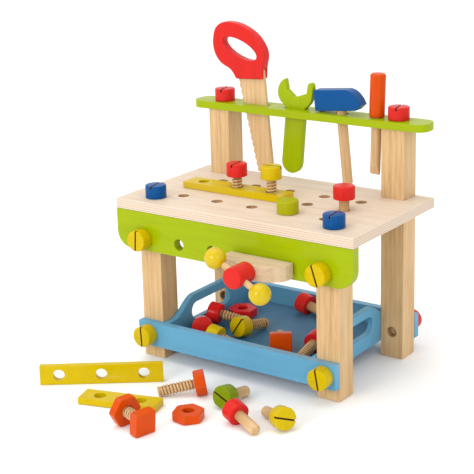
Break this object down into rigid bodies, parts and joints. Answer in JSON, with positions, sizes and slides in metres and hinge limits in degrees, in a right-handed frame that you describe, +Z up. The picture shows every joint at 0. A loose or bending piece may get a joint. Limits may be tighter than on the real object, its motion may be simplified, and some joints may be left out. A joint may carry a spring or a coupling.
{
  "type": "toy tool bench",
  "caption": "Toy wooden workbench with a screw vise, a peg-hole top, a tool rail holding a saw, wrench, hammer and screwdriver, a tool tray, and loose wooden bolts, nuts and hole bars.",
  "frame": {"origin": "on the floor, under the middle of the bounding box of the bench with its loose pieces", "axes": "+Z up, +X along the bench to the right as seen from its front, +Y from the front of the bench to its back"},
  "size_m": [0.3562, 0.3976, 0.3948],
  "materials": {
    "plywood": "pale birch plywood, clear satin lacquer",
    "leg_wood": "honey-coloured rubberwood, clear satin lacquer",
    "bare_beech": "pale beech, clear satin lacquer",
    "green_paint": "lime green satin paint",
    "dark_green_paint": "olive green satin stain",
    "yellow_paint": "yellow satin paint",
    "red_paint": "red satin paint",
    "dark_red_paint": "dark red satin paint",
    "orange_paint": "orange satin paint",
    "light_blue_paint": "light blue satin paint",
    "blue_paint": "strong blue satin paint"
  },
  "bodies": {
    "bench": {"bench_top": "plywood", "front_leg_left": "leg_wood", "front_leg_right": "leg_wood", "rear_post_left": "leg_wood", "rear_post_right": "leg_wood", "front_apron": "green_paint", "tool_rail": "green_paint", "tray_front_board": "light_blue_paint", "tray_rear_board": "light_blue_paint", "tray_side_left": "light_blue_paint", "tray_side_right": "light_blue_paint", "tray_base_panel": "light_blue_paint", "top_bolt_left": "blue_paint", "top_bolt_right": "blue_paint", "apron_bolt_left": "yellow_paint", "apron_bolt_right": "yellow_paint", "tray_front_bolt_left": "yellow_paint", "tray_front_bolt_right": "yellow_paint", "tray_rear_bolt_left": "red_paint", "tray_rear_bolt_right": "red_paint", "rail_bolt_left": "red_paint", "rail_bolt_right": "red_paint"},
    "vise_jaw": {"vise_jaw": "bare_beech"},
    "vise_screw": {"vise_hub": "red_paint", "vise_spindle": "bare_beech", "vise_handle": "bare_beech", "vise_ball_left": "yellow_paint", "vise_ball_right": "yellow_paint"},
    "saw": {"saw_handle": "red_paint", "saw_blade": "bare_beech"},
    "wrench": {"wrench": "green_paint"},
    "hammer": {"hammer_head": "blue_paint", "hammer_handle": "bare_beech"},
    "screwdriver": {"screwdriver_handle": "orange_paint", "screwdriver_shaft": "bare_beech"},
    "work_bar": {"work_bar": "yellow_paint"},
    "red_work_bolt": {"red_work_bolt": "red_paint"},
    "yellow_work_bolt": {"yellow_work_bolt": "yellow_paint"},
    "green_work_bolt": {"green_work_bolt": "dark_green_paint"},
    "red_work_peg": {"red_work_peg": "red_paint"},
    "tray_dark_red_bolt": {"tray_dark_red_bolt": "dark_red_paint"},
    "tray_hex_nut": {"tray_hex_nut": "dark_red_paint"},
    "tray_red_bolt": {"tray_red_bolt": "red_paint"},
    "tray_yellow_bolt": {"tray_yellow_bolt": "yellow_paint"},
    "tray_slotted_bolt": {"tray_slotted_bolt": "yellow_paint"},
    "tray_square_bolt": {"tray_square_bolt": "orange_paint"},
    "tray_plain_bolt": {"tray_plain_bolt": "red_paint"},
    "tray_long_bolt": {"tray_long_bolt": "red_paint"},
    "floor_long_bar": {"floor_long_bar": "yellow_paint"},
    "floor_short_bar": {"floor_short_bar": "yellow_paint"},
    "floor_hex_bolt": {"floor_hex_bolt": "orange_paint"},
    "floor_hex_nut": {"floor_hex_nut": "orange_paint"},
    "floor_green_bolt": {"floor_green_bolt": "dark_green_paint"},
    "floor_red_peg": {"floor_red_peg": "red_paint"},
    "floor_yellow_bolt": {"floor_yellow_bolt": "yellow_paint"},
    "floor_square_bolt": {"floor_square_bolt": "orange_paint"},
    "floor_nut_on_bolt": {"floor_nut_on_bolt": "orange_paint"}
  },
  "joints": [
    {"name": "jaw_slide", "type": "slide", "parent": "bench", "child": "vise_jaw", "axis": [0, -1, 0], "range_m": [-0.003, 0.025]},
    {"name": "screw_turn", "type": "hinge", "parent": "vise_jaw", "child": "vise_screw", "pos_m": [0.05887, -0.02025, 0.1525], "axis": [0, -1, 0], "range_deg": [-215, 1795]},
    {"name": "saw_lift", "type": "slide", "parent": "bench", "child": "saw", "axis": [-0.0906, 0, 0.9959], "range_m": [0, 0.09]},
    {"name": "wrench_lift", "type": "slide", "parent": "bench", "child": "wrench", "axis": [0.0993, 0, 0.9951], "range_m": [0, 0.085]},
    {"name": "hammer_lift", "type": "slide", "parent": "bench", "child": "hammer", "axis": [-0.0958, 0, 0.9954], "range_m": [0, 0.13]},
    {"name": "screwdriver_lift", "type": "slide", "parent": "bench", "child": "screwdriver", "axis": [0.0332, 0, 0.9995], "range_m": [0, 0.08]},
    {"name": "work_bar_lift", "type": "slide", "parent": "bench", "child": "work_bar", "axis": [0, 0, 1], "range_m": [0, 0.01]},
    {"name": "red_work_bolt_lift", "type": "slide", "parent": "bench", "child": "red_work_bolt", "axis": [0, 0, 1], "range_m": [0, 0.045]},
    {"name": "yellow_work_bolt_lift", "type": "slide", "parent": "bench", "child": "yellow_work_bolt", "axis": [0, 0, 1], "range_m": [0, 0.045]},
    {"name": "green_work_bolt_lift", "type": "slide", "parent": "bench", "child": "green_work_bolt", "axis": [0, 0, 1], "range_m": [0, 0.045]},
    {"name": "red_work_peg_lift", "type": "slide", "parent": "bench", "child": "red_work_peg", "axis": [0, 0, 1], "range_m": [0, 0.045]},
    {"name": "tray_dark_red_bolt_lift", "type": "slide", "parent": "bench", "child": "tray_dark_red_bolt", "axis": [0, 0, 1], "range_m": [0, 0.05]},
    {"name": "tray_hex_nut_lift", "type": "slide", "parent": "bench", "child": "tray_hex_nut", "axis": [0, 0, 1], "range_m": [0, 0.05]},
    {"name": "tray_red_bolt_lift", "type": "slide", "parent": "bench", "child": "tray_red_bolt", "axis": [0, 0, 1], "range_m": [0, 0.05]},
    {"name": "tray_yellow_bolt_lift", "type": "slide", "parent": "bench", "child": "tray_yellow_bolt", "axis": [0, 0, 1], "range_m": [0, 0.05]},
    {"name": "tray_slotted_bolt_lift", "type": "slide", "parent": "bench", "child": "tray_slotted_bolt", "axis": [0, 0, 1], "range_m": [0, 0.05]},
    {"name": "tray_square_bolt_lift", "type": "slide", "parent": "bench", "child": "tray_square_bolt", "axis": [0, 0, 1], "range_m": [0, 0.05]},
    {"name": "tray_plain_bolt_lift", "type": "slide", "parent": "bench", "child": "tray_plain_bolt", "axis": [0, 0, 1], "range_m": [0, 0.05]},
    {"name": "tray_long_bolt_lift", "type": "slide", "parent": "bench", "child": "tray_long_bolt", "axis": [0, 0, 1], "range_m": [0, 0.05]},
    {"name": "floor_long_bar_lift", "type": "slide", "parent": "bench", "child": "floor_long_bar", "axis": [0, 0, 1], "range_m": [0, 0.05]},
    {"name": "floor_short_bar_lift", "type": "slide", "parent": "bench", "child": "floor_short_bar", "axis": [0, 0, 1], "range_m": [0, 0.05]},
    {"name": "floor_hex_bolt_lift", "type": "slide", "parent": "bench", "child": "floor_hex_bolt", "axis": [0, 0, 1], "range_m": [0, 0.05]},
    {"name": "floor_hex_nut_lift", "type": "slide", "parent": "bench", "child": "floor_hex_nut", "axis": [0, 0, 1], "range_m": [0, 0.05]},
    {"name": "floor_green_bolt_lift", "type": "slide", "parent": "bench", "child": "floor_green_bolt", "axis": [0, 0, 1], "range_m": [0, 0.05]},
    {"name": "floor_red_peg_lift", "type": "slide", "parent": "bench", "child": "floor_red_peg", "axis": [0, 0, 1], "range_m": [0, 0.05]},
    {"name": "floor_yellow_bolt_lift", "type": "slide", "parent": "bench", "child": "floor_yellow_bolt", "axis": [0, 0, 1], "range_m": [0, 0.05]},
    {"name": "floor_square_bolt_lift", "type": "slide", "parent": "bench", "child": "floor_square_bolt", "axis": [0, 0, 1], "range_m": [0, 0.05]},
    {"name": "nut_slide", "type": "slide", "parent": "floor_square_bolt", "child": "floor_nut_on_bolt", "axis": [-0.9628, 0.2526, 0.0958], "range_m": [0, 0.014]}
  ],
  "couplings": [
    {"joint": "jaw_slide", "follows": "screw_turn", "m_per_rad": 0.00079577}
  ]
}
